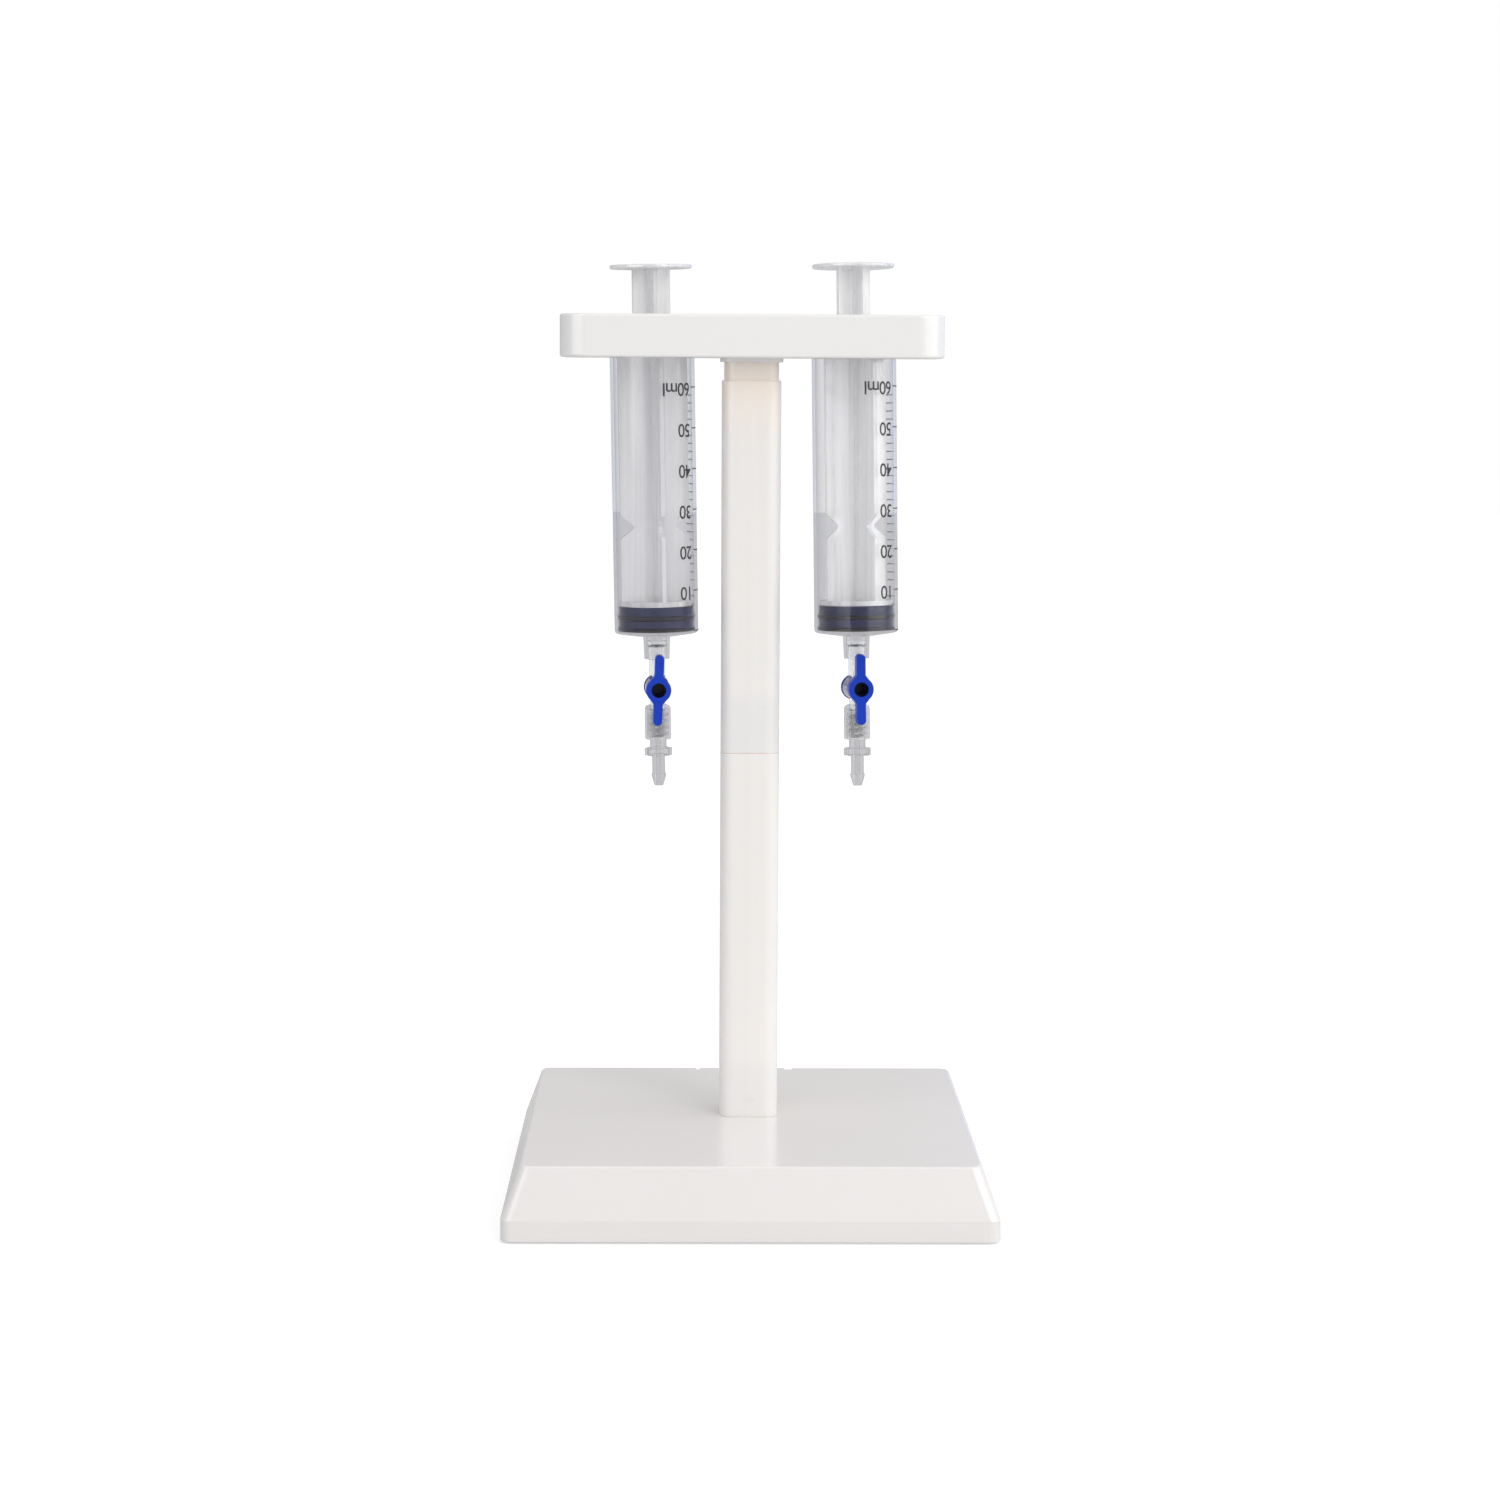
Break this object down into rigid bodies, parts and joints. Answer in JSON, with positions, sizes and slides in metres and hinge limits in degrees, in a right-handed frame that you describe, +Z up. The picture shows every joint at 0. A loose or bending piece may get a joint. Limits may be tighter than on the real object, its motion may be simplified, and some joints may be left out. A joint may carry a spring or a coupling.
{
  "type": "two-place syringe stand",
  "caption": "Bench stand whose square weighted base and two-section post carry a bar that hangs large syringes nozzle down, each with a stopcock, lock nut and hose barb.",
  "frame": {"origin": "centre of the square base, on the surface that the feet stand on", "axes": "+Z up along the post, +X along the bar to the right seen from the front, -Y to the front where the stopcock handles face"},
  "size_m": [0.1774, 0.1774, 0.3465],
  "materials": {
    "white_abs": "glossy white moulded ABS",
    "white_abs_satin": "satin white moulded ABS",
    "pole_abs": "slightly warm white semi-gloss ABS",
    "foot_rubber": "matt",
    "ballast_steel": "mill finish plate",
    "screw_steel": "zinc plated",
    "clear_barrel": "clear polypropylene, faintly hazy",
    "clear_plunger": "natural milky polypropylene",
    "seal_rubber": "smooth siliconed black rubber",
    "clear_valve": "clear polycarbonate",
    "clear_nut": "clear polycarbonate",
    "clear_barb": "clear polycarbonate",
    "handle_blue": "glossy royal blue polyethylene"
  },
  "bodies": {
    "stand": {"base_cover": "white_abs", "base_plate": "white_abs_satin", "ballast_plate": "ballast_steel", "foot_front_left": "foot_rubber", "foot_rear_left": "foot_rubber", "foot_front_right": "foot_rubber", "foot_rear_right": "foot_rubber", "base_screws": "screw_steel", "lower_pole": "pole_abs", "pole_screw": "screw_steel"},
    "upper_pole": {"upper_pole": "pole_abs"},
    "holder": {"holder_body": "white_abs", "holder_cover": "white_abs_satin", "cover_screws": "screw_steel"},
    "left_syringe": {"left_barrel": "clear_barrel", "left_stopcock_body": "clear_valve"},
    "left_plunger": {"left_plunger": "clear_plunger", "left_seal": "seal_rubber"},
    "left_handle": {"left_stopcock_handle": "handle_blue", "left_key_cap": "handle_blue"},
    "left_lock_nut": {"left_lock_nut": "clear_nut"},
    "left_hose_barb": {"left_hose_barb": "clear_barb"},
    "right_syringe": {"right_barrel": "clear_barrel", "right_stopcock_body": "clear_valve"},
    "right_plunger": {"right_plunger": "clear_plunger", "right_seal": "seal_rubber"},
    "right_handle": {"right_stopcock_handle": "handle_blue", "right_key_cap": "handle_blue"},
    "right_lock_nut": {"right_lock_nut": "clear_nut"},
    "right_hose_barb": {"right_hose_barb": "clear_barb"}
  },
  "joints": [
    {"name": "upper_pole_pull", "type": "slide", "parent": "stand", "child": "upper_pole", "axis": [0, 0, 1], "range_m": [0, 0.02]},
    {"name": "holder_pull", "type": "slide", "parent": "upper_pole", "child": "holder", "axis": [0, 0, 1], "range_m": [0, 0.0132]},
    {"name": "left_syringe_lift", "type": "slide", "parent": "holder", "child": "left_syringe", "axis": [-0.018, 0, 0.9998], "range_m": [0, 0.17]},
    {"name": "left_plunger_slide", "type": "slide", "parent": "left_syringe", "child": "left_plunger", "axis": [-0.018, 0, 0.9998], "range_m": [0, 0.0915]},
    {"name": "left_stopcock_turn", "type": "hinge", "parent": "left_syringe", "child": "left_handle", "pos_m": [-0.03473, 0.0055, 0.18818], "axis": [0.0697, -0.9976, 0.0013], "continuous": true},
    {"name": "left_nut_turn", "type": "hinge", "parent": "left_syringe", "child": "left_lock_nut", "pos_m": [-0.03452, 0.0055, 0.17638], "axis": [-0.018, 0, 0.9998], "range_deg": [0, 360]},
    {"name": "left_barb_slide", "type": "slide", "parent": "left_syringe", "child": "left_hose_barb", "axis": [0.018, 0, -0.9998], "range_m": [0, 0.005]},
    {"name": "right_syringe_lift", "type": "slide", "parent": "holder", "child": "right_syringe", "axis": [-0.0164, 0.0279, 0.9995], "range_m": [0, 0.17]},
    {"name": "right_plunger_slide", "type": "slide", "parent": "right_syringe", "child": "right_plunger", "axis": [-0.0164, 0.0279, 0.9995], "range_m": [0, 0.0915]},
    {"name": "right_stopcock_turn", "type": "hinge", "parent": "right_syringe", "child": "right_handle", "pos_m": [0.03997, 0.00198, 0.18889], "axis": [0.1392, -0.9898, 0.0299], "continuous": true},
    {"name": "right_nut_turn", "type": "hinge", "parent": "right_syringe", "child": "right_lock_nut", "pos_m": [0.04016, 0.00165, 0.17709], "axis": [-0.0164, 0.0279, 0.9995], "range_deg": [0, 360]},
    {"name": "right_barb_slide", "type": "slide", "parent": "right_syringe", "child": "right_hose_barb", "axis": [0.0164, -0.0279, -0.9995], "range_m": [0, 0.005]}
  ],
  "couplings": [
    {"joint": "left_nut_turn", "follows": "left_barb_slide", "rad_per_m": 1256.6},
    {"joint": "right_nut_turn", "follows": "right_barb_slide", "rad_per_m": 1256.6}
  ]
}
